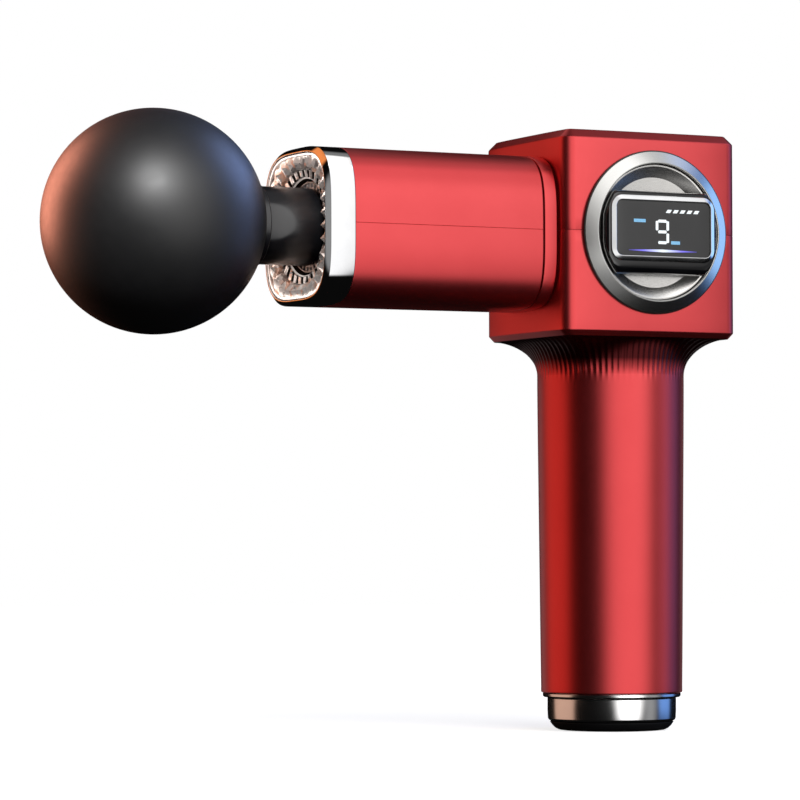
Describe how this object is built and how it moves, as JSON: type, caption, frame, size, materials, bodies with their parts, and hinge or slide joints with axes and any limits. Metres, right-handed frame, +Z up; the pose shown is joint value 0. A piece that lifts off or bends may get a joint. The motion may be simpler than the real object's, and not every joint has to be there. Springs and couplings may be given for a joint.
{
  "type": "massage gun",
  "caption": "Handheld L-shaped percussion massager with a round battery handle, cube motor head, square-round barrel, plug-in ball head and a twist-and-press display dial.",
  "frame": {"origin": "centre of the flat underside of the handle's foot", "axes": "+Z up the handle, -X along the barrel to the ball, -Y out of the display dial"},
  "size_m": [0.1759, 0.0538, 0.1498],
  "materials": {
    "red_body": "satin red anodised metal",
    "chrome_trim": "polished",
    "brushed_metal": "brushed",
    "grille_metal": "faceted, bright",
    "soft_black": "matte soft touch",
    "black_plastic": "satin",
    "gloss_black": "gloss",
    "screen": "smoked window with a lit display",
    "steel": "machined",
    "copper": "enamelled wire",
    "brass": "machined",
    "circuit_board": "solder mask",
    "cell_wrap": "shrink wrap",
    "nylon": "moulded"
  },
  "bodies": {
    "casing": {"barrel_collar": "red_body", "barrel_shell_lower": "red_body", "barrel_shell_upper": "red_body", "base_cap": "chrome_trim", "base_lip_ring": "chrome_trim", "battery_cell_1": "cell_wrap", "battery_cell_2": "cell_wrap", "battery_cell_3": "cell_wrap", "battery_holder_bottom": "nylon", "battery_holder_top": "nylon", "bearing_front_outer": "steel", "bearing_rear_outer": "steel", "bezel_ring": "chrome_trim", "charge_board": "circuit_board", "charge_lead": "black_plastic", "charge_port": "steel", "control_board": "circuit_board", "damper_front": "soft_black", "damper_rear": "soft_black", "display_lead": "black_plastic", "driver_board": "circuit_board", "encoder_base": "black_plastic", "front_ring": "chrome_trim", "guide_bush_front": "nylon", "guide_bush_rear": "nylon", "guide_sleeve": "steel", "head_shell_lower": "red_body", "head_shell_upper": "red_body", "motor_lead": "black_plastic", "motor_mount": "steel", "motor_screw_1": "steel", "motor_screw_2": "steel", "motor_screw_3": "steel", "motor_screw_4": "steel", "neck_sleeve": "steel", "rubber_foot": "soft_black", "stator_core": "steel", "stator_windings": "copper", "vent_grille": "grille_metal"},
    "rotor": {"rotor_bell": "brushed_metal", "rotor_magnets": "steel", "motor_shaft": "steel", "eccentric_counterweight": "brass", "bearing_front_inner": "steel", "bearing_rear_inner": "steel"},
    "plunger": {"plunger": "black_plastic", "wrist_pin": "steel"},
    "rod": {"connecting_rod": "steel", "bigend_bearing_outer": "steel"},
    "pin": {"crank_pin": "steel", "bigend_bearing_inner": "steel"},
    "head": {"head_stem": "black_plastic", "massage_ball": "soft_black", "stem_ring": "soft_black"},
    "dial_hub": {"dial_hub": "nylon"},
    "dial": {"dial_dish": "brushed_metal", "display_bar": "gloss_black", "display_frame": "chrome_trim", "screen_lens": "screen", "display_board": "circuit_board"}
  },
  "joints": [
    {"name": "motor_spin", "type": "hinge", "parent": "casing", "child": "rotor", "pos_m": [0.002, 0, 0.12295], "axis": [0, 1, 0], "continuous": true},
    {"name": "plunger_stroke", "type": "slide", "parent": "casing", "child": "plunger", "axis": [-1, 0, 0], "range_m": [0, 0.01]},
    {"name": "rod_swing", "type": "hinge", "parent": "plunger", "child": "rod", "pos_m": [-0.035, 0, 0.12295], "axis": [0, 1, 0], "range_deg": [-6.84, 6.84]},
    {"name": "crank_pin_spin", "type": "hinge", "parent": "rod", "child": "pin", "pos_m": [0.007, 0, 0.12295], "axis": [0, 1, 0], "continuous": true},
    {"name": "head_pull_off", "type": "slide", "parent": "plunger", "child": "head", "axis": [-1, 0, 0], "range_m": [0, 0.024]},
    {"name": "dial_turn", "type": "hinge", "parent": "casing", "child": "dial_hub", "pos_m": [0.0004, 0, 0.12295], "axis": [0, -1, 0], "range_deg": [-30, 30], "stiffness_Nm_per_rad": 0.05},
    {"name": "dial_press", "type": "slide", "parent": "dial_hub", "child": "dial", "axis": [0, 1, 0], "range_m": [0, 0.0008], "stiffness_N_per_m": 2000}
  ],
  "couplings": [
    {"joint": "crank_pin_spin", "follows": "motor_spin", "ratio": 1}
  ]
}
